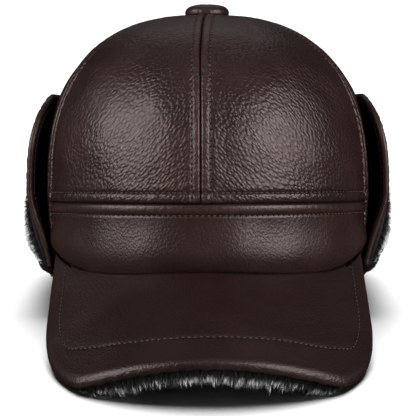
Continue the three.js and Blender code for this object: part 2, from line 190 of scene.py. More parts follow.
DOME_ALONG, DOME_SCALE, DOME_Z = dome_profile()
WALL_TOP = DOME_ALONG[-1] - 7


def wall(along):
    """The outline's scale, and the height, at a length up the crown's wall."""
    below = along < SHOULDER
    scale = np.where(below, HEM_SCALE + (1 - HEM_SCALE) * along / SHOULDER,
                     np.interp(along, DOME_ALONG, DOME_SCALE))
    return scale, np.where(below, along, np.interp(along, DOME_ALONG, DOME_Z))


def depth_at(angle):
    return np.where(np.cos(np.radians(angle)) > 0, FRONT_DEPTH, BACK_DEPTH)


def crown(angle, along):
    """The crown's outer face: angle from the front in degrees, length up the wall."""
    scale, z = wall(along)
    turn = np.radians(angle)
    x = scale * HALF_WIDTH * np.sin(turn)
    return np.stack([x, -scale * depth_at(angle) * np.cos(turn), z], axis=-1)


def framed(surface, u, v):
    """A surface's points and its outward normals."""
    u, v = np.broadcast_arrays(np.asarray(u, float), np.asarray(v, float))
    step = 0.02
    along_u = surface(u + step, v) - surface(u - step, v)
    along_v = surface(u, v + step) - surface(u, v - step)
    return surface(u, v), unit(np.cross(along_u, along_v))


def cross_seam(angle):
    return SEAM_Z - SEAM_FALL * np.square(angle / FRONT_END)


def peak_arch(y):
    return PEAK_ARCH + PEAK_BEND * np.maximum(-y - PEAK_BEND_FROM, 0)


def peak_z(x, y):
    return PEAK_Z - peak_arch(y) * x * x + PEAK_SLOPE * (y + FRONT_DEPTH)


def hem_fall(y):
    depth = np.where(y < 0, FRONT_DEPTH, BACK_DEPTH)
    return HALF_WIDTH * HEM_SCALE * (np.sqrt(1 - np.square(y / depth)) - 1)


def hem_x(y):
    return HALF_WIDTH * HEM_SCALE + hem_fall(y)


def flap(y, z):
    """The ear flap's face towards the crown, on the +X side."""
    low = np.minimum(z, SHOULDER)
    rise = np.clip((z - SHOULDER) / DOME_RISE, 0, 1)
    scale = np.where(z < SHOULDER, HEM_SCALE + (1 - HEM_SCALE) * low / SHOULDER,
                     (1 - rise ** DOME_POWER) ** (1 / DOME_POWER))
    foot = 1 - smoothstep(z, 0, SHOULDER)
    away = smoothstep(z, 20, 48) * (1 - smoothstep(z, FLAP_TOP - 11, FLAP_TOP))
    flare = 1.5 * np.square(np.minimum(y, 0) / FLAP_FRONT) * away
    bow = 3 * np.square(np.maximum(y - 5, 0) / (FLAP_BACK - 5)) * (1 - foot)
    x = HALF_WIDTH * scale + foot * hem_fall(y) + FLAP_CLEARANCE + flare - bow
    return np.stack(np.broadcast_arrays(x, y, z), axis=-1)


# ---- Making meshes ----

def grid(rows, columns):
    """Faces over points stored row by row: columns run right and rows run up, seen from outside."""
    index = np.arange(rows * columns).reshape(rows, columns)
    corners = [index[:-1, :-1], index[:-1, 1:], index[1:, 1:], index[1:, :-1]]
    return np.stack(corners, axis=-1).reshape(-1, 4)


def plate(outer, inner):
    """A closed plate between two grids of points."""
    rows, columns = outer.shape[:2]
    count = rows * columns
    index = np.arange(count).reshape(rows, columns)
    rim = np.concatenate([index[0, :-1], index[:-1, -1], index[-1, :0:-1], index[:0:-1, 0]])
    after = np.roll(rim, -1)
    side = np.stack([after, rim, rim + count, after + count], axis=-1)
    faces = [grid(rows, columns), grid(rows, columns)[:, ::-1] + count, side]
    return np.concatenate([outer.reshape(-1, 3), inner.reshape(-1, 3)]), faces


def tube(rows, columns):
    """Faces round a tube with a ring of points in each row, and one face over each end."""
    index = np.arange(rows * columns).reshape(rows, columns)
    around = np.roll(index, -1, axis=1)
    sides = np.stack([index[:-1], around[:-1], around[1:], index[1:]], axis=-1).reshape(-1, 4)
    return [sides, index[-1][None], index[0][::-1][None]]


def mirrored(shape, side):
    """A piece of the +X side, moved to the other side where side is -1."""
    points, faces = shape
    if side > 0:
        return points, faces
    return points * [-1, 1, 1], [face[:, ::-1] for face in faces]


def joined(*shapes):
    points, faces, start = [], [], 0
    for some, their in shapes:
        points.append(some)
        faces += [face + start for face in their]
        start += len(some)
    return np.concatenate(points), faces


def put(name, data):
    made = bpy.data.objects.new(name, data)
    bpy.context.scene.collection.objects.link(made)
    return made


def make(name, shape, look, body=None, nodes=(), marks=None):
    """A Blender object from a shape in millimetres. marks are its values at each point."""
    points, faces = shape
    mesh = bpy.data.meshes.new(name)
    mesh.vertices.add(len(points))
    mesh.vertices.foreach_set("co", to_row(points).astype(np.float32).ravel())
    sizes = np.concatenate([np.full(len(face), face.shape[1]) for face in faces])
    corners = np.concatenate([face.ravel() for face in faces])
    mesh.loops.add(len(corners))
    mesh.loops.foreach_set("vertex_index", corners.astype(np.int32))
    mesh.polygons.add(len(sizes))
    starts = np.concatenate([[0], np.cumsum(sizes)[:-1]])
    mesh.polygons.foreach_set("loop_start", starts.astype(np.int32))
    for mark, values in (marks or {}).items():
        attribute = mesh.attributes.new(mark, "FLOAT", "POINT")
        attribute.data.foreach_set("value", np.asarray(values, np.float32).ravel())
    mesh.update(calc_edges=True)
    mesh.validate()
    mesh.shade_smooth()
    mesh.materials.append(look)
    piece = put(name, mesh)
    if body:
        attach(piece, body)
    if nodes:
        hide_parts(*nodes)
    return piece


# ---- Fur ----

def scatter(points, count, random, weight=None):
    """Random places on a grid of points, and the normals there."""
    a, b, c, d = points[:-1, :-1], points[:-1, 1:], points[1:, 1:], points[1:, :-1]
    normals = np.cross(c - a, d - b).reshape(-1, 3)
    area = np.linalg.norm(normals, axis=1)
    if weight is not None:
        area = area * weight(((a + c) / 2).reshape(-1, 3))
    cell = random.choice(len(area), count, p=area / area.sum())
    s, t = random.random((2, count, 1))
    corner = [corners.reshape(-1, 3)[cell] for corners in (a, b, c, d)]
    low = corner[0] * (1 - s) + corner[1] * s
    high = corner[3] * (1 - s) + corner[2] * s
    return low * (1 - t) + high * t, unit(normals[cell])


HAIR_RINGS = np.array([0, 0.7])
HAIR_GIRTH = np.array([1, 0.85])


def tufts(roots, clump, random):
    """The tuft that each hair belongs to: the nearest of some of the hairs, about a clump apart."""
    area = np.prod(np.sort(np.ptp(roots, axis=0))[1:]) * 1.6
    chosen = random.choice(len(roots), min(int(area / clump ** 2), len(roots) // 4), replace=False)
    tree = KDTree(len(chosen))
    for number, root in enumerate(roots[chosen]):
        tree.insert(root, number)
    tree.balance()
    return np.unique([tree.find(root)[1] for root in roots], return_inverse=True)[1]


def hairs(roots, normals, comb, length, random, width=0.34, clump=3.4, gather=0.55, wild=0.3):
    """Tapered three-sided hairs that gather into tufts. comb is the way that the pile leans."""
    count = len(roots)
    way = unit(normals + comb + wild * random.normal(size=(count, 3)))
    length = (length * random.uniform(0.7, 1.12, count))[:, None]
    group = tufts(roots, clump, random)
    share = np.bincount(group)[:, None]
    mean = lambda values: np.stack([np.bincount(group, v) for v in values.T], axis=-1) / share
    tuft = mean(roots + way * length) + 0.6 * random.normal(size=(len(share), 3))
    pull = gather * random.uniform(0.5, 1, (count, 1))
    tip = (roots + way * length) * (1 - pull) + tuft[group] * pull
    bend = tip - roots - way * length
    aside = unit(np.cross(way, random.normal(size=(count, 3))))
    other = np.cross(way, aside)
    rings = []
    for share_up, girth in zip(HAIR_RINGS, HAIR_GIRTH):
        centre = roots + way * length * share_up + bend * share_up ** 2
        for turn in (0, 2.0944, 4.18879):
            rings.append(centre + width / 2 * girth * (math.cos(turn) * aside + math.sin(turn) * other))
    points = np.stack([*rings, tip], axis=1)
    base = 7 * np.arange(count)[:, None]
    quads, ends = [], []
    for k in range(3):
        after = (k + 1) % 3
        quads.append(base + [k, after, after + 3, k + 3])
        ends.append(base + [k + 3, after + 3, 6])
    shape = points.reshape(-1, 3), [np.concatenate(quads), np.concatenate(ends)]
    up = np.tile([*np.repeat(HAIR_RINGS, 3), 1], count)
    frost = np.repeat(random.random(count) * 0.4 + 0.6 * random.random(len(share))[group], 7)
    return shape, up, frost


def fur(name, base, roots_on, count, comb, length, seed, body, nodes=(), weight=None, flip=1, **how):
    """A fur piece: a backing, with hairs rooted on one face of it."""
    random = np.random.default_rng(seed)
    roots, normals = scatter(roots_on, count, random, weight)
    long = length(roots) if callable(length) else length
    combed = comb(roots) if callable(comb) else np.array(comb, float)
    shape, up, frost = hairs(roots, normals, combed, long, random, **how)
    whole = mirrored(joined(base, shape), flip)
    whole = above_table(whole[0]), whole[1]
    plain = np.zeros(len(base[0]))
    marks = {"up": np.concatenate([plain, up]), "frost": np.concatenate([plain, frost])}
    return make(name, whole, FUR, body, nodes, marks)


# ---- Stitches ----

def stitch_shape():
    """One stitch along X, lying on z = 0, with its ends drawn down into their holes."""
    along = np.linspace(-0.5, 0.5, 6)
    girth = np.sqrt(1 - np.square(along * 1.75)) * THREAD
    turns = np.linspace(0, 2 * np.pi, 6, endpoint=False)
    dip = -0.95 * np.square(along) * 1.6
    rings = [np.stack([np.full(6, a * STITCH), g * np.cos(turns), g * np.sin(turns) + d], axis=-1)
             for a, g, d in zip(along, girth, dip)]
    index = np.arange(36).reshape(6, 6)
    around = np.roll(index, -1, axis=1)
    sides = np.stack([index[:-1], index[1:], around[1:], around[:-1]], axis=-1).reshape(-1, 4)
    return np.concatenate(rings), [sides[:, ::-1], np.array([index[0], index[-1][::-1]])]


def hole_shade_shape():
    """Painted shade in the dimple that a needle leaves: a dark flat bead lying on z = 0."""
    turns = np.linspace(0, 2 * np.pi, 7)[:-1]
    ring = np.stack([HOLE_SHADE[0] * np.cos(turns), HOLE_SHADE[1] * np.sin(turns), 0 * turns], axis=-1)
    after = (np.arange(6) + 1) % 6
    top = np.stack([np.arange(6), after, np.full(6, 6)], axis=-1)
    low = np.stack([after, np.arange(6), np.full(6, 7)], axis=-1)
    return np.concatenate([ring, [[0, 0, HOLE_SHADE[2]], [0, 0, -HOLE_SHADE[2]]]]), [np.concatenate([top, low])]


def along_lines(lines, template, faces, start, lift):
    """Copies of a small shape along lines of points. Each line is (points, normals)."""
    shapes = []
    for points, normals in lines:
        run = np.concatenate([[0], np.cumsum(np.linalg.norm(np.diff(points, axis=0), axis=1))])
        places = np.arange(start, run[-1] - PITCH / 2, PITCH)
        at = lambda values, where: np.stack([np.interp(where, run, v) for v in values.T], axis=-1)
        forward = unit(at(points, places + 0.4) - at(points, places - 0.4))
        up = unit(at(normals, places))
        aside = unit(np.cross(up, forward))
        centre = at(points, places) + lift * up
        for c, f, s, u in zip(centre, forward, aside, np.cross(forward, aside)):
            shapes.append((c + template @ np.stack([f, s, u]), faces))
    return joined(*shapes)


def sew(name, lines, body):
    """A stitch row along each line: the threads, and a dark bead of painted shade at the needle hole
    between each two.
    """
    make(f"{name}_stitches", along_lines(lines, *stitch_shape(), PITCH, 0.3), THREAD_LOOK,
         body)
    make(f"{name}_needle_hole_shades", along_lines(lines, *hole_shade_shape(), PITCH / 2, 0.34), HOLE_SHADE_LOOK,
         body)


# ---- Materials ----

def new_look(name):
    look = bpy.data.materials.new(name)
    look.use_nodes = True
    return look, look.node_tree, look.node_tree.nodes["Principled BSDF"]


def feed(tree, made, inputs):
    """Links or plain values into a node's sockets."""
    for key, value in inputs.items():
        if isinstance(value, bpy.types.NodeSocket):
            tree.links.new(value, made.inputs[key])
        else:
            made.inputs[key].default_value = value


def node(tree, kind, inputs=None, **settings):
    made = tree.nodes.new("ShaderNode" + kind)
    for key, value in settings.items():
        setattr(made, key, value)
    feed(tree, made, inputs or {})
    return made


def place(tree):
    return node(tree, "TexCoord").outputs["Object"]


def noise(tree, at, scale, detail=2, roughness=0.5):
    """Noise with bumps 1/scale metres apart."""
    inputs = {"Vector": at, "Scale": scale, "Detail": detail, "Roughness": roughness}
    return node(tree, "TexNoise", inputs).outputs["Fac"]


def remap(tree, value, low, high, to_low=0.0, to_high=1.0, smooth=False):
    inputs = {"Value": value, "From Min": low, "From Max": high, "To Min": to_low, "To Max": to_high}
    kind = "SMOOTHSTEP" if smooth else "LINEAR"
    return node(tree, "MapRange", inputs, interpolation_type=kind).outputs["Result"]


def math_of(tree, operation, a, b):
    return node(tree, "Math", {0: a, 1: b}, operation=operation).outputs[0]


def mix_colors(tree, share, a, b):
    made = node(tree, "Mix", {"Factor": share}, data_type="RGBA")
    for key, color in ((6, a), (7, b)):
        feed(tree, made, {key: color if isinstance(color, bpy.types.NodeSocket) else (*color, 1)})
    return made.outputs[2]


def bump(tree, height, depth_mm, under=None):
    inputs = {"Height": height, "Distance": depth_mm * 0.001, "Strength": 1.0}
    if under:
        inputs["Normal"] = under
    return node(tree, "Bump", inputs).outputs["Normal"]


def stretched(tree, at, scale, turn):
    """Coordinates that are turned, then scaled along the turned axes."""
    turned = node(tree, "Mapping", {"Vector": at, "Rotation": turn}).outputs[0]
    return node(tree, "Mapping", {"Vector": turned, "Scale": scale}).outputs[0]


def mark(tree, name):
    return node(tree, "Attribute", attribute_name=name).outputs["Fac"]


def leather(name, dark, warm, pebble, pebble_depth, fine_depth, gloss, turn, stretch):
    """Grained leather. pebble is the width of its grain in millimetres, and turn the way it runs."""
    look, tree, shader = new_look(name)
    at = place(tree)
    pull = node(tree, "TexNoise", {"Vector": at, "Scale": 260, "Detail": 1}).outputs["Color"]
    bent = node(tree, "VectorMath", {0: pull, 1: (0.0004, 0.0004, 0.0004)}, operation="MULTIPLY")
    moved = node(tree, "VectorMath", {0: at, 1: bent.outputs[0]}, operation="ADD").outputs[0]
    grain_at = stretched(tree, moved, stretch, turn)
    cells = node(tree, "TexVoronoi", {"Vector": grain_at, "Scale": 1000 / pebble}).outputs["Distance"]
    domes = remap(tree, math_of(tree, "POWER", cells, 2.0), 0.0, 0.5, 1.0, 0.0)
    fine = noise(tree, grain_at, 1900 / pebble, 3, 0.6)
    broad = noise(tree, at, 22, 3, 0.6)
    patch = remap(tree, noise(tree, at, 55, 2), 0.38, 0.62, 0.72, 1.0, True)
    relief = math_of(tree, "MULTIPLY", domes, patch)
    normal = bump(tree, relief, pebble_depth)
    shader_normal = bump(tree, fine, fine_depth, normal)
    tone = mix_colors(tree, remap(tree, broad, 0.35, 0.65), dark, warm)
    # Painted shade: where the grain's domes fall away into creases, the colour is pulled towards a darker
    # brown.
    crease_shade = remap(tree, domes, 0.05, 0.6, 0.4, 1.0)
    worn = math_of(tree, "MULTIPLY", mark(tree, "wear"), remap(tree, fine, 0.3, 0.7))
    paler = tuple(2.1 * channel for channel in warm)
    shade = mix_colors(tree, math_of(tree, "MULTIPLY", worn, 0.8), tone, paler)
    black = mix_colors(tree, crease_shade, tuple(0.55 * channel for channel in dark), shade)
    rough = remap(tree, relief, 0.0, 1.0, gloss + 0.14, gloss)
    rough = math_of(tree, "ADD", rough, remap(tree, broad, 0.3, 0.7, -0.04, 0.05))
    feed(tree, shader, {"Base Color": black, "Roughness": rough, "Normal": shader_normal})
    shader.inputs["Specular IOR Level"].default_value = 0.65
    shader.inputs["Specular Tint"].default_value = (1, 0.84, 0.81, 1)
    return look


def fur_look():
    """Near-black pile, with pale frosted tips on some tufts."""
    look, tree, shader = new_look("fur_pile")
    up, frost = mark(tree, "up"), mark(tree, "frost")
    broad = noise(tree, place(tree), 60, 3)
    body = mix_colors(tree, remap(tree, up, 0.1, 0.8), (0.005, 0.0045, 0.005), (0.035, 0.033, 0.034))
    tips = remap(tree, up, 0.5, 0.85, smooth=True)
    chosen = remap(tree, math_of(tree, "ADD", frost, broad), 0.86, 1.06)
    pale = mix_colors(tree, math_of(tree, "MULTIPLY", tips, chosen), body, (0.93, 0.92, 0.92))
    tree.links.new(pale, shader.inputs["Base Color"])
    shader.inputs["Roughness"].default_value = 0.55
    shader.inputs["Specular IOR Level"].default_value = 0.35
    return look


def woven(name, color, other, threads, depth_mm, roughness, sheen=0.0):
    """Plain woven cloth. threads is how many there are in a millimetre."""
    look, tree, shader = new_look(name)
    at = place(tree)
    waves = [node(tree, "TexWave", {"Vector": at, "Scale": threads * 160, "Distortion": 1.5,
                                    "Detail": 1}, bands_direction=way).outputs["Fac"]
             for way in ("X", "Z")]
    weave = math_of(tree, "MULTIPLY", *waves)
    uneven = noise(tree, at, 70, 3)
    tone = mix_colors(tree, remap(tree, math_of(tree, "ADD", weave, uneven), 0.3, 1.3), color, other)
    rough = remap(tree, uneven, 0.3, 0.7, roughness, roughness + 0.1)
    feed(tree, shader, {"Base Color": tone, "Normal": bump(tree, weave, depth_mm), "Roughness": rough})
    shader.inputs["Sheen Weight"].default_value = sheen
    return look


def plain_rough(name, color, other, grain, depth_mm, roughness, metal=0.0):
    look, tree, shader = new_look(name)
    at = place(tree)
    spots = noise(tree, at, 1000 / grain, 4, 0.65)
    tone = mix_colors(tree, remap(tree, spots, 0.35, 0.65), color, other)
    rough = remap(tree, spots, 0.3, 0.7, roughness, roughness + 0.12)
    feed(tree, shader, {"Base Color": tone, "Normal": bump(tree, spots, depth_mm), "Roughness": rough})
    shader.inputs["Metallic"].default_value = metal
    return look


DARK_BROWN = (0.0165, 0.0062, 0.0056)
WARM_BROWN = (0.027, 0.0105, 0.0094)
PEAK_BROWN = (0.0105, 0.0038, 0.0034)
SIDES = ((1, "left"), (-1, "right"))
CROWN_LEATHERS = {side: leather(f"crown_leather_{word}", DARK_BROWN, WARM_BROWN, 1.25, 0.2, 0.01, 0.27,
                                (0, side * 0.75, 0), (1, 1, 0.55))
                  for side, word in SIDES}
BAND_LEATHER = leather("band_leather", DARK_BROWN, WARM_BROWN, 1.05, 0.075, 0.008, 0.28,
                       (0, 0.3, 0), (1, 1, 0.75))
PEAK_LEATHER = leather("peak_leather", PEAK_BROWN, DARK_BROWN, 0.95, 0.1, 0.01, 0.3,
                       (0, 0, 0.8), (1, 0.55, 1))
THREAD_LOOK = woven("thread", (0.05, 0.028, 0.025), (0.11, 0.067, 0.06), 2.2, 0.05, 0.4)
# Near-black beads that paint the shade inside the needle holes.
HOLE_SHADE_LOOK = plain_rough("needle_hole_shade", (0.001, 0.0006, 0.0006), (0.003, 0.0016, 0.0015), 0.5, 0.02, 0.8)
SATIN_LOOK = woven("lining_satin", (0.009, 0.008, 0.0095), (0.016, 0.014, 0.017), 5, 0.01, 0.3, 0.15)
FUR = fur_look()


# ---- Crown ----

def roll(distance, width, height):
    """A full round ridge from a seam to its stitch row."""
    return height * np.sin(np.pi * np.clip(distance / width, 0, 1)) ** 0.6


def seam_relief(distance, along, seed):
    """Leather beside a seam: the valley, a roll, the stitch row that pulls it in, and puckers."""
    relief = -0.9 * bell(distance, 0.42) + roll(distance, CROWN_ROW, 0.7)
    relief += -0.35 * bell(distance - CROWN_ROW, 0.45) + 0.22 * bell(distance - 7, 2.2)
    return relief + 0.17 * bell(distance - 6.2, 3.4) * wave(along + 0.5 * distance, 6.5, seed)


def sewn_angle(side, panel, angle, along):
    """The front seam was sewn a few millimetres towards the wearer's right."""
    if panel != "front":
        return angle + 0 * along
    scale = wall(along)[0]
    shift = np.degrees(FRONT_SEAM_SHIFT / (FRONT_DEPTH * np.maximum(scale, 0.75)))
    return angle - side * shift * np.square(1 - angle / FRONT_END)


def panel_point(side, panel, angle, along):
    """The leather of a crown panel, with its seams and soft unevenness."""
    low, high = PANELS[panel]
    points, normals = framed(crown, sewn_angle(side, panel, angle, along), along)
    turn = np.radians(angle)
    arc = wall(along)[0] * np.hypot(HALF_WIDTH * np.cos(turn), depth_at(angle) * np.sin(turn))
    first = np.radians(angle - low) * arc
    last = np.radians(high - angle) * arc
    own = points * [side, 1, 1]
    calm = smoothstep(np.minimum(first, last), 0, 9)
    height = calm * (0.4 * ripple(own, 46, 3) + 0.13 * ripple(own, 17, 4))
    height += seam_relief(first, along, 11 + 2 * side) + seam_relief(last, along, 21 + 2 * side)
    if panel == "front":
        above = along - cross_seam(angle)
        height += -1.0 * bell(above, 0.45) + roll(above, SEAM_UPPER_ROW, 0.8)
        height += -0.4 * bell(above - SEAM_UPPER_ROW, 0.45) + 0.2 * bell(above - 7.6, 2.2)
        height += 0.12 * bell(above - 6.4, 3) * wave(first + 0.4 * above, 4.5, 31 + side)
        height += 0.2 * bell(above - 2.6, 1.6) * wave(first, 3.2, 35 + side)
    else:
        height += 0.5 * bell(along - 2.2, 1.6) - 0.4 * bell(along - 5, 0.8)
    return points + normals * height[..., None], normals, np.minimum(first, last)


def panel_grid(panel):
    low, high = PANELS[panel]
    angle = low + (high - low) * near_edges(FRONT_WIDTH if panel == "front" else PANEL_WIDTH, 2.1)
    if panel == "front":
        rise = np.concatenate([UPPER_STEPS, np.linspace(8, WALL_TOP - SEAM_Z, 92)[1:]])
        fall = cross_seam(angle)[None, :] - SEAM_Z
        fade = 1 - smoothstep(rise, 8, 90)[:, None]
        return angle[None, :], SEAM_Z + rise[:, None] + fall * fade
    start = np.array([0.4, 1.2, 2.2, 3.3, 4.2, 5, 5.8, 7, 9])
    rise = np.concatenate([start, np.linspace(9, WALL_TOP, 112)[1:]])
    return angle[None, :], rise[:, None]


def crown_panels(side, word):
    for panel in PANELS:
        angle, along = np.broadcast_arrays(*panel_grid(panel))
        outer, normals, edge = panel_point(side, panel, angle, along)
        deep = LEATHER + 1.2 * bell(edge, 1.6)
        inner = framed(crown, sewn_angle(side, panel, angle, along), along)[0]
        inner = inner - normals * deep[..., None]
        wear = np.concatenate([bell(edge - 2.4, 1.3).ravel(), np.zeros(edge.size)])
        make(f"{panel}_panel_{word}_leather", mirrored(plate(outer, inner), side), CROWN_LEATHERS[side],
             "crown", [f"{panel}_panel_{word}"], {"wear": wear})


def lining_panels(side, word):
    for panel, (low, high) in PANELS.items():
        angle = (low + (high - low) * near_edges(PANEL_WIDTH, 4))[None, :]
        along = np.linspace(SATIN_HEM, WALL_TOP, 60)[:, None]
        points, normals = framed(crown, angle, along)
        across = (angle - low) / (high - low)
        edge = PANEL_WIDTH * np.minimum(across, 1 - across) * np.maximum(wall(along)[0], 0.05)
        puff = 0.5 * smoothstep(edge, 0, 10) + 0.25 * ripple(points * [side, 1, 1], 18, 8)
        puff = puff - 0.5 * bell(edge, 0.8)
        inner = points - normals * (SATIN[1] + np.maximum(puff, -0.3))[..., None]
        outer = points - normals * SATIN[0]
        make(f"{panel}_lining_{word}_satin", mirrored(plate(outer, inner), side), SATIN_LOOK,
             "crown", [f"{panel}_lining_{word}"])


def on_side(side, points, normals):
    return points * [side, 1, 1], normals * [side, 1, 1]


def seam_rows():
    """Stitch rows beside the seams between crown panels, and up from the hem."""
    lines = []
    for side, _ in SIDES:
        for panel, (low, high) in PANELS.items():
            start = SEAM_Z + 1.5 if panel == "front" else 5
            along = np.linspace(start, WALL_TOP - 8, 220)
            for angle, way in ((low, 1), (high, -1)):
                turn = math.radians(angle)
                arc = wall(along)[0] * math.hypot(HALF_WIDTH * math.cos(turn),
                                                  float(depth_at(angle)) * math.sin(turn))
                row = angle + way * np.degrees(CROWN_ROW / arc)
                points, normals, _ = panel_point(side, panel, row, along)
                keep = np.abs(row - angle) < (high - low) / 2 - 3
                lines.append(on_side(side, points[keep], normals[keep]))
        angles = np.linspace(69, 179, 260)
        for panel in ("side", "back"):
            own = angles[(angles > PANELS[panel][0]) & (angles < PANELS[panel][1])]
            points, normals, _ = panel_point(side, panel, own, np.full(len(own), 5.0))
            lines.append(on_side(side, points, normals))
        own = np.linspace(1.5, FRONT_END - 2, 220)
        points, normals, _ = panel_point(side, "front", own, cross_seam(own) + SEAM_UPPER_ROW)
        lines.append(on_side(side, points, normals))
    return lines


# ---- Front band ----

def band_point(angle, row):
    """The padded band. row is the distance below the cross seam up to 8, then a share of the rest."""
    foot = crown(angle, np.full_like(angle, PEAK_Z))
    low = peak_z(foot[..., 0], foot[..., 1]) - 0.6
    tall = cross_seam(angle) - low
    below = np.where(row < 8, row, 8 + (tall - 8) * (row - 8))
    points, normals = framed(crown, angle, cross_seam(angle) - below)
    share = np.clip((below - SEAM_LOWER_ROW) / (tall - SEAM_LOWER_ROW), 0, 1)
    height = -1.0 * bell(below, 0.45) + roll(below, SEAM_LOWER_ROW, 1.1)
    height += -0.45 * bell(below - SEAM_LOWER_ROW, 0.45)
    height += BAND_PUFF * np.sin(np.pi * share ** 1.9) - 1.4 * bell(tall - below, 1.6)
    length = np.radians(angle) * MEAN_RADIUS
    under = smoothstep(below, SEAM_LOWER_ROW, SEAM_LOWER_ROW + 1.2)
    height += 0.13 * under * bell(below - 7, 3.4) * wave(length + 0.25 * below, 4.2, 41)
    height += 0.17 * bell(below - 2.7, 1.6) * wave(length, 3.4, 42)
    height += 0.38 * np.sin(np.pi * share) * ripple(points * [1, 1, 0.6], 28, 43)
    end = np.minimum(FRONT_END - np.abs(angle), 20) * np.pi / 180 * MEAN_RADIUS
    height -= 2.2 * bell(end, 1.6)
    return points + normals * height[..., None], normals, below


def front_band():
    share = np.linspace(0, 1, 30)
    rows = np.concatenate([BAND_STEPS, 8 + np.square(share) * 0.3 + 0.7 * share])
    angle = FRONT_END * (2 * near_edges(BAND_WIDTH, 1.5) - 1)
    angles, row = np.broadcast_arrays(angle[None, :], rows[::-1, None])
    outer, normals, below = band_point(angles, row)
    inner = outer - normals * 1.5
    wear = np.concatenate([bell(below - 3.1, 1.3).ravel() * 0.8, np.zeros(below.size)])
    piece = make("front_band_leather", plate(outer, inner), BAND_LEATHER, "crown",
                 ["front_band", "front_band_padding"], {"wear": wear})
    own = np.linspace(-66.5, 66.5, 420)
    points, normals, _ = band_point(own, np.full(len(own), SEAM_LOWER_ROW))
    return [(points, normals)]


# ---- Hem ----

def hem():
    """A soft leather roll round the hem, flattened where it rests on the table."""
    angle = np.linspace(0, 360, 361)[:-1]
    turn = np.linspace(0, 2 * np.pi, 21)[:-1]
    centre, normals = framed(crown, angle, np.full(360, 0.1))
    depth = 3.0 - 3.35 * np.cos(turn)
    z = -0.35 + 1.75 * np.sin(turn)
    pucker = 1 + 0.05 * wave(np.radians(angle) * MEAN_RADIUS, 4, 51)[:, None]
    points = centre[:, None] - normals[:, None] * (depth * pucker)[..., None]
    points[..., 2] = z * pucker
    index = np.arange(7200).reshape(360, 20)
    right, down = np.roll(index, -1, axis=0), np.roll(index, -1, axis=1)
    faces = np.stack([index, right, np.roll(right, -1, axis=1), down], axis=-1).reshape(-1, 4)
    shape = above_table(points.reshape(-1, 3)), [faces]
    make("hem_roll", shape, BAND_LEATHER, "crown", ["hem_binding"])


def inner_fur():
    angle = np.linspace(-180, 180, 181)
    along = np.linspace(1.5, 40, 16)[:, None]
    points, normals = framed(crown, angle[None, :], along)
    face = points - normals * (INNER_FUR_DEPTH + 1)
    base = plate(points - normals * INNER_FUR_DEPTH, face)
    fur("inner_fur_band_pile", base, face[::-1], 15000, (0, 0, -0.7), 5.2, 61, "crown",
        ["inner_fur_band"], width=0.4)


# ---- Peak ----

def joint_reach(x):
    scale = HEM_SCALE + (1 - HEM_SCALE) * (PEAK_Z + 2) / SHOULDER
    width = HALF_WIDTH * scale + 0.4
    return (FRONT_DEPTH * scale + 0.4) * np.sqrt(np.clip(1 - np.square(x / width), 0, 1))


def corner_of(side, front, radius):
    """The centre of a round corner that is tangent inside two arcs (x, reach, radius)."""
    a, b = side[2] - radius, front[2] - radius
    dx, dr = front[0] - side[0], front[1] - side[1]
    gap = math.hypot(dx, dr)
    along = (a * a - b * b + gap * gap) / (2 * gap)
    aside = math.sqrt(a * a - along * along)
    return side[0] + (dx * along - dr * aside) / gap, side[1] + (dr * along + dx * aside) / gap


def side_inset(inset):
    """How far a line round the peak lies in from its side edge, by how far it does in front."""
    return inset if inset < 3 else 3 + (inset - 3) * 3.5 / 11


def peak_line(inset):
    """A line round the peak at a distance in from its edge, from the wearer's right to left."""
    aside = side_inset(inset)
    side = (*PEAK_SIDE[:2], PEAK_SIDE[2] - aside)
    front = (*PEAK_FRONT[:2], PEAK_FRONT[2] - inset)
    radius = PEAK_CORNER - aside + 0.6 * max(inset - 3, 0)
    centre = corner_of(side, front, radius)
    to_corner = math.atan2(centre[1] - side[1], centre[0] - side[0])
    to_front = math.atan2(centre[1] - front[1], centre[0] - front[0])
    x = PEAK_HALF_WIDTH - aside
    straight = np.linspace(joint_reach(x), side[1], 26)
    half = [np.stack([np.full(26, x), straight], axis=-1)]
    for middle, r, start, stop, count in (
            (side[:2], side[2], 0, to_corner, 30), (centre, radius, to_corner, to_front, 22),
            (front[:2], front[2], to_front, math.pi / 2, 46)):
        turn = np.linspace(start, stop, count + 1)[1:]
        half.append(np.stack([middle[0] + r * np.cos(turn), middle[1] + r * np.sin(turn)], axis=-1))
    half = np.concatenate(half)
    return np.concatenate([half * [-1, 1], half[-2::-1]])


PEAK_ROLL = ((3.6, 4.9), (2.2, 5.1), (1.2, 5.0), (0.5, 4.75), (0.1, 4.3), (-0.1, 3.7), (-0.25, 2.9),
             (-0.33, 2.1), (-0.3, 1.4), (-0.15, 0.85), (0.12, 0.42), (0.5, 0.12), (1.0, -0.08),
             (1.6, -0.14), (2.3, -0.1), (2.9, -0.03))


def to_joint(line, rows, past=2.0):
    """Rows from a line round the peak back to the crown, and a little past its face."""
    run = np.concatenate([[0], np.cumsum(np.linalg.norm(np.diff(line, axis=0), axis=1))])
    x = line[0, 0] * (1 - 2 * run / run[-1])
    joint = np.stack([x, joint_reach(x)], axis=-1)
    share = np.linspace(0, 1, rows)[1:, None, None]
    back = line * (1 - share) + joint * share
    return np.concatenate([back, joint[None] - [0, past]])


def peak_points(plan, drop):
    x, y = plan[..., 0], -plan[..., 1]
    return np.stack([x, y, peak_z(x, y) - drop], axis=-1)


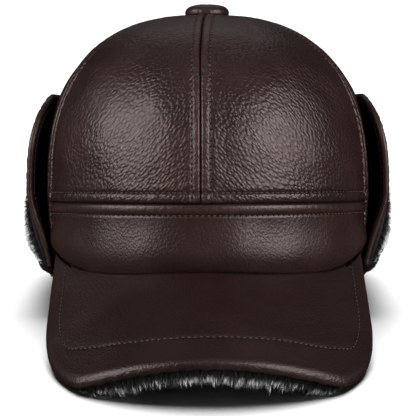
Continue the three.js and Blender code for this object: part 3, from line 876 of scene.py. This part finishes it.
def peak_leather():
    insets = np.array([3.5, 4.5, 6, 8, 10, 11.5, 12.6, 13.2, 13.6, 14, 14.4, 14.8, 15.6, 17, 19, 21.5, 24])
    edge = np.stack([peak_line(inset) for inset, _ in PEAK_ROLL])
    top = np.stack([peak_line(inset) for inset in insets])
    back = to_joint(top[-1], 34)
    plan = np.concatenate([edge, top, back])
    drop = np.zeros(plan.shape[:2])
    drop[:len(PEAK_ROLL)] = np.array([drop for _, drop in PEAK_ROLL])[:, None]
    points = peak_points(plan, drop)
    lift = np.zeros(plan.shape[:2])
    row = insets[:, None]
    lift[len(edge):len(edge) + len(top)] = (
        -0.34 * bell(row - PEAK_ROW, 0.45) + 0.14 * bell(row - 17, 2.2) + 0.14 * bell(row - 11.3, 2))
    on_top = 1 - smoothstep(drop, 0, 1)
    run = np.arange(plan.shape[1])[None, :] * PEAK_POINT_GAP
    near_row = np.concatenate([np.zeros(len(edge)), bell(insets - PEAK_ROW, 3.4), np.zeros(len(back))])
    lift += 0.09 * near_row[:, None] * wave(run, 6, 71)
    lift += on_top * (0.34 * ripple(points, 48, 72) + 0.07 * ripple(points, 15, 73))
    roll = smoothstep(drop, 0.3, 2)
    points[..., 2] += lift
    points[..., 1] += 0.18 * roll * wave(run, 7, 74)
    points[..., 2] += 0.22 * roll * wave(run, 11, 75)
    inward = np.zeros_like(points)
    inward[..., 2] = -1.1 + 0.9 * smoothstep(drop, 0.1, 2.2) + 1.0 * smoothstep(drop, 4, 5.4)
    middle = np.array([0, -70.0])
    toward = unit(middle - points[..., :2])
    share = 1.1 * smoothstep(drop, 0.1, 1.6) * (1 - smoothstep(drop, 4.3, 5.5))
    inward[..., :2] = toward * share[..., None]
    wear = np.concatenate([bell(drop - 0.5, 0.6).ravel(), np.zeros(drop.size)])
    shape = plate(points, points + inward)
    shape = above_table(shape[0]), shape[1]
    make("peak_leather", shape, PEAK_LEATHER, "crown",
         ["peak_cover", "peak_binding"], {"wear": wear})
    line = peak_line(PEAK_ROW)
    seam = peak_points(line, 0)
    run = np.arange(len(line)) * PEAK_POINT_GAP
    lift = -0.34 + 0.09 * wave(run, 6, 71) + 0.34 * ripple(seam, 48, 72) + 0.07 * ripple(seam, 15, 73)
    seam[:, 2] += lift
    across = 2 * peak_arch(seam[:, 1]) * seam[:, 0]
    flat = np.ones(len(seam))
    return [(seam, unit(np.stack([across, -PEAK_SLOPE * flat, flat], axis=-1)))]


def peak_fur():
    insets = np.array([3.2, 5, 8, 12, 17, 24])
    lines = np.stack([peak_line(inset) for inset in insets])
    plan = np.concatenate([lines, to_joint(lines[-1], 24, 0)[:-1]])
    top = peak_points(plan, 4.6)
    face = peak_points(plan, 5.6)
    base = plate(top, face)
    edge_of = peak_line(3.2)[::6]

    def near_edge(points):
        gap = np.linalg.norm(points[:, None, :2] - (edge_of * [1, -1])[None], axis=-1).min(axis=1)
        return 1 + 3.5 * bell(gap, 7)

    def comb(roots):
        out = unit(roots * [1, 1, 0] - [0, -72, 0])
        return 0.12 * out * bell(near_edge(roots) - 4.5, 2.5)[:, None] + [0, -0.1, -0.5]

    def length(roots):
        return 6.8 + 1.35 * (near_edge(roots) - 1)

    fur("peak_fur_pile", base, face[::-1], 18500, comb, length, 81, "crown", ["peak_fur"],
        weight=near_edge, width=0.36, clump=3.8, gather=0.72, wild=0.28)


# ---- Button ----

def button():
    """Leather gathered over a button: a soft top, with puckers down its sides."""
    turn = np.linspace(0, 2 * np.pi, 145)[:-1]
    section = np.array([(0.95, 0.1), (0.985, 0.5), (1, 1.1), (1.01, 1.9), (1, 2.7), (0.97, 3.6),
                        (0.92, 4.4), (0.84, 5.1), (0.73, 5.7), (0.58, 6.15), (0.4, 6.45),
                        (0.22, 6.6), (0.05, 6.65)])
    radius = BUTTON_RADIUS * section[:, :1]
    fold = np.maximum(wave(turn * BUTTON_RADIUS, 4.2, 91), -1.2)
    low = 1 - smoothstep(section[:, 1:], 4.6, 7.0)
    radius = radius * (1 + 0.006 * fold[None] * low)
    ring = np.stack([np.cos(turn), np.sin(turn), turn * 0], axis=-1) * 9
    height = section[:, 1:] + 0.12 * ripple(ring, 12, 92)
    height = np.minimum(height, BUTTON_HEIGHT + 0.3) + 0 * radius
    points = np.stack([radius * np.sin(turn), -radius * np.cos(turn), height + CROWN_TOP + 0.1], axis=-1)
    make("button_leather", (points.reshape(-1, 3), tube(*radius.shape)), BAND_LEATHER,
         "crown", ["button_cover"])


# ---- Ear flaps, made on the +X side ----

def flap_top(y, inset):
    reach = np.minimum(np.minimum(y - FLAP_FRONT, FLAP_BACK - y) - FLAP_CORNER, 0)
    radius = FLAP_CORNER - inset
    return FLAP_TOP - FLAP_CORNER + np.sqrt(np.clip(radius * radius - reach * reach, 0, None))


def flap_foot(y):
    """The bottom of the fold: level in the middle, and up at the flap's two lower corners."""
    return FOLD_Z + 4.6 * smoothstep(np.abs(y - FLAP_MIDDLE), FOLD_HALF, FLAP_BACK - FLAP_MIDDLE + 1)


def flap_sheet(inset, height, columns, rows):
    """A layer of the flap from the fold to its top. height is the distance from the crown's side."""
    half = (FLAP_BACK - FLAP_FRONT) / 2 - inset
    y = (FLAP_MIDDLE + half * np.sin(np.radians(np.linspace(-90, 90, columns))))[None, :]
    share = np.linspace(0, 1, rows)[:, None]
    z = 4 + (flap_top(y, inset) - 4) * share
    y, z = np.broadcast_arrays(y, z)
    points, normals = framed(flap, y, z)
    upper = points + normals * np.asarray(height(y, z))[..., None]
    low = upper[0]
    bottom = flap_foot(y[0]) - 0.13 * height(y[0], z[0])
    turn = np.radians(np.linspace(90, 0, 11)[:-1])[:, None]
    reach = 0.4 + height(y[0], z[0])
    x = low[None, :, 0] - reach + reach * np.cos(turn)
    z_low = low[None, :, 2] - (low[None, :, 2] - bottom) * np.sin(turn)
    fold = np.stack([x, np.broadcast_to(low[:, 1], x.shape), z_low], axis=-1)
    return np.concatenate([fold, upper])


def quilt(y, z):
    """Soft unevenness of the flap's leather face."""
    at = np.stack([y * 0, y, z], axis=-1)
    return 0.3 * ripple(at, 30, 101) + 0.1 * ripple(at, 11, 102)


def flap_pieces(side, word):
    body = f"{word}_ear_flap"
    inner = flap_sheet(1.5, lambda y, z: -0.1 * quilt(y, z) + 0.05, 60, 70)
    outer = flap_sheet(1.5, lambda y, z: 1.3 + 0 * y, 60, 70)
    make(f"ear_flap_{word}_leather", mirrored(plate(outer, inner), side), BAND_LEATHER,
         body, [f"ear_flap_leather_{word}"])
    back = flap_sheet(2.2, lambda y, z: 1.6 + 0 * y, 50, 60)
    pad = lambda y, z: 1.9 + 3.0 * (1 - smoothstep(z, 18, 50)) - 0.9 * (1 - smoothstep(z, 0, 14))
    front = flap_sheet(1.2, pad, 50, 60)
    whole = plate(front, back)

    def length(roots):
        fuller = 1 - smoothstep(roots[:, 2], 18, 50)
        return 1.7 + 4.6 * fuller - 5.5 * (1 - smoothstep(roots[:, 2], -3, 22))

    def weight(points):
        corner = smoothstep(np.abs(points[:, 1] - FLAP_MIDDLE), FOLD_HALF - 8, FOLD_HALF - 1)
        return 1 - corner * (1 - smoothstep(points[:, 2], 3, 9))

    def comb(roots):
        hang = -0.12 - 0.5 * smoothstep(roots[:, 2], 2, 24)
        return np.stack([0 * hang, 0.12 * np.sin(roots[:, 2] / 9), hang], axis=-1)

    piece = fur(f"ear_flap_{word}_fur", whole, front, 19500, comb, length, 111 + side, body,
                [f"ear_flap_fur_{word}", f"ear_flap_wadding_{word}"], weight, side, width=0.4, clump=4.2)
    flap_edge(side, word, body)
    fold_pieces(side, word)


def flap_rim(inset):
    """The flap's edge from its front foot over the top to its back foot, as (y, z)."""
    front, back = FLAP_FRONT + inset, FLAP_BACK - inset
    shoulder = FLAP_TOP - FLAP_CORNER
    radius = FLAP_CORNER - inset
    rise = np.linspace(2.6, shoulder, 60)[:-1]
    turn = np.radians(np.linspace(180, 90, 40))
    bend = radius * np.stack([np.cos(turn), np.sin(turn)], axis=-1)
    first = bend + [FLAP_FRONT + FLAP_CORNER, shoulder]
    middle = np.linspace(FLAP_FRONT + FLAP_CORNER, FLAP_BACK - FLAP_CORNER, 22)[1:-1]
    top = np.stack([middle, np.full(20, shoulder + radius)], axis=-1)
    last = (bend * [-1, 1] + [FLAP_BACK - FLAP_CORNER, shoulder])[::-1]
    straight = lambda y: np.stack([np.full(len(rise), y), rise], axis=-1)
    return np.concatenate([straight(front), first, top, last, straight(back)[::-1]])


def flap_edge(side, word, body):
    """A rolled leather edge with fine gathers, round three sides of the flap."""
    turn = np.linspace(0, 2 * np.pi, 17)[:-1]
    run = np.concatenate([[0], np.cumsum(np.linalg.norm(np.diff(flap_rim(0), axis=0), axis=1))])
    gather = 0.3 * wave(run, 3.6, 121 + side) + 0.25 * wave(run, 9, 131 + side)
    rings = []
    for a in turn:
        inset = 1.3 - 1.75 * math.cos(a)
        height = 1.55 + 1.75 * math.sin(a)
        rim = flap_rim(inset)
        points, normals = framed(flap, rim[:, 0], rim[:, 1])
        swell = 0.6 * gather * (0.55 - 0.45 * math.cos(a + 0.6))
        rings.append(points + normals * (height + swell)[:, None])
    points = np.stack(rings, axis=1)
    shape = points.reshape(-1, 3), tube(*points.shape[:2])
    wear = np.tile(np.clip(-np.cos(turn) * 0.2 + 0.5, 0, 1), len(points))
    make(f"ear_flap_{word}_edge", mirrored(shape, side), BAND_LEATHER, body,
         [f"ear_flap_binding_{word}"], {"wear": wear})
    rim = flap_rim(4.6)
    points, normals = framed(flap, rim[:, 0], rim[:, 1])
    sew(f"ear_flap_{word}", [on_side(side, points - 0.05 * normals, -normals)], body)


def fold_pieces(side, word):
    """The strips that bend in the fold: leather outside the hem, and fur under it."""
    y = np.linspace(FLAP_MIDDLE - FOLD_HALF, FLAP_MIDDLE + FOLD_HALF, 60)[None, :]
    z = np.linspace(FOLD_Z - 0.05, 3.2, 22)[:, None]
    gather = 0.12 * wave(y, 6, 141 + side) * smoothstep(z, 3, 0)
    x = hem_x(y) + 0.55 + 0.02 * z + gather
    face = np.stack(np.broadcast_arrays(x, y, z), axis=-1)
    strip = make(f"fold_{word}_leather", mirrored(plate(face, face - [0.45, 0, 0]), side), BAND_LEATHER)
    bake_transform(strip)
    path = np.array([(-6.8, 1.4), (-6.9, 0), (-6.7, -1.2), (-6, -2.2), (-4.6, -2.8), (-2.6, -3),
                     (0.4, -2.9)])
    share = np.linspace(0, 6, 25)
    dx, dz = np.interp(share, range(7), path[:, 0]), np.interp(share, range(7), path[:, 1])
    x = hem_x(y) + dx[:, None]
    lower = np.stack(np.broadcast_arrays(x, y, dz[:, None]), axis=-1)
    upper = lower + [0.2, 0, 0.5]
    pile = fur(f"fold_{word}_fur", plate(upper[::-1], lower[::-1]), lower, 3600, (0, 0, -0.2), 1.3,
               151 + side, None, flip=side, width=0.4)
    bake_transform(pile)


# ---- Camera, light and floor ----

CAMERA_DISTANCE = 700
FOCAL_LENGTH = 108.8


def camera():
    lens = bpy.data.cameras.new("camera")
    lens.sensor_width = 36
    lens.lens = FOCAL_LENGTH
    made = put("camera", lens)
    turn, rise = math.radians(-0.6), math.radians(4.5)
    way = np.array([math.sin(turn) * math.cos(rise), -math.cos(turn) * math.cos(rise), math.sin(rise)])
    target = np.array([0.3, 0, 30.0])
    eye = Vector(to_row(target + CAMERA_DISTANCE * way))
    made.location = eye
    made.rotation_euler = (Vector(to_row(target)) - eye).to_track_quat("-Z", "Y").to_euler()
    lens.clip_start, lens.clip_end = 0.05, 50
    bpy.context.scene.camera = made


def lamp(name, azimuth, elevation, distance, size, power, ground):
    """A soft light on the cap but not the floor. Azimuth 0 is in front, and 90 is on its +X side."""
    light = bpy.data.lights.new(name, "AREA")
    light.shape = "RECTANGLE"
    light.size, light.size_y = size
    light.energy = power
    made = put(name, light)
    turn, rise = math.radians(azimuth), math.radians(elevation)
    way = Vector((math.sin(turn) * math.cos(rise), -math.cos(turn) * math.cos(rise), math.sin(rise)))
    made.location = Vector((0, 0, 0.08)) + distance * way
    made.rotation_euler = (-way).to_track_quat("-Z", "Y").to_euler()
    lit = bpy.data.collections.new("not_lit_by_" + name)
    lit.objects.link(ground)
    lit.collection_objects[0].light_linking.link_state = "EXCLUDE"
    made.light_linking.receiver_collection = lit


def floor():
    """A plain pale floor, with a wide soft lamp of its own that only the floor takes light from."""
    bpy.ops.mesh.primitive_circle_add(radius=14, vertices=96, fill_type="NGON", location=(0, 0, 0))
    ground = bpy.context.object
    ground.name = "floor"
    look, tree, shader = new_look("floor")
    feed(tree, shader, {"Base Color": (0.82, 0.82, 0.82, 1), "Roughness": 0.8})
    shader.inputs["Specular IOR Level"].default_value = 0.1
    ground.data.materials.append(look)
    ground.visible_glossy = False
    light = bpy.data.lights.new("floor_light", "SUN")
    light.angle = math.radians(50)
    light.energy = 5.4
    made = put("floor_light", light)
    made.rotation_euler.x = math.radians(-14)
    lit = bpy.data.collections.new("lit_by_floor_light")
    lit.objects.link(ground)
    made.light_linking.receiver_collection = lit
    return ground


def studio():
    ground = floor()
    lamp("key_left", -66, 27, 1.3, (0.95, 0.9), 13, ground)
    lamp("key_right", 52, 27, 1.3, (1.05, 0.85), 15, ground)
    lamp("top_fill", 0, 84, 1.6, (0.8, 0.5), 0.9, ground)
    lamp("back_light", 180, 45, 1.6, (1.2, 0.8), 1.5, ground)
    world = bpy.data.worlds.new("studio")
    world.use_nodes = True
    tree = world.node_tree
    back = tree.nodes["Background"]
    seen = node(tree, "LightPath").outputs["Is Camera Ray"]
    back.inputs["Color"].default_value = (1, 1, 1, 1)
    tree.links.new(remap(tree, seen, 0, 1, 0.03, 0.98), back.inputs["Strength"])
    bpy.context.scene.world = world
    bpy.context.scene.view_settings.view_transform = "Standard"


# ---- Build ----

def carried_over():
    """Looks for the CAD nodes that stay."""
    fleece = plain_rough("wadding", (0.62, 0.59, 0.53), (0.8, 0.77, 0.71), 0.7, 0.2, 0.9)
    looks = {
        "front_stiffener": woven("buckram", (0.52, 0.48, 0.4), (0.68, 0.64, 0.55), 0.9, 0.15, 0.85),
        "crown_wadding": fleece,
        "rear_elastic": woven("elastic", (0.015, 0.015, 0.017), (0.05, 0.05, 0.054), 0.8, 0.15, 0.75),
        "peak_board": plain_rough("board", (0.02, 0.02, 0.022), (0.045, 0.045, 0.048), 0.5, 0.05, 0.6),
        "button_core": plain_rough("metal", (0.3, 0.29, 0.28), (0.42, 0.4, 0.39), 0.8, 0.02, 0.35, 1.0),
    }
    looks["button_washer"] = looks["button_core"]
    for name, look in looks.items():
        part = frame["nodes"][name]
        if not part.material_slots:
            part.data.materials.append(look)
        for place_of in part.material_slots:
            place_of.material = look


camera()
studio()
carried_over()
rows = seam_rows() + front_band() + peak_leather()
sew("crown", rows, "crown")
for side, word in SIDES:
    crown_panels(side, word)
    lining_panels(side, word)
    flap_pieces(side, word)
hem()
inner_fur()
peak_fur()
button()

bpy.context.view_layer.update()
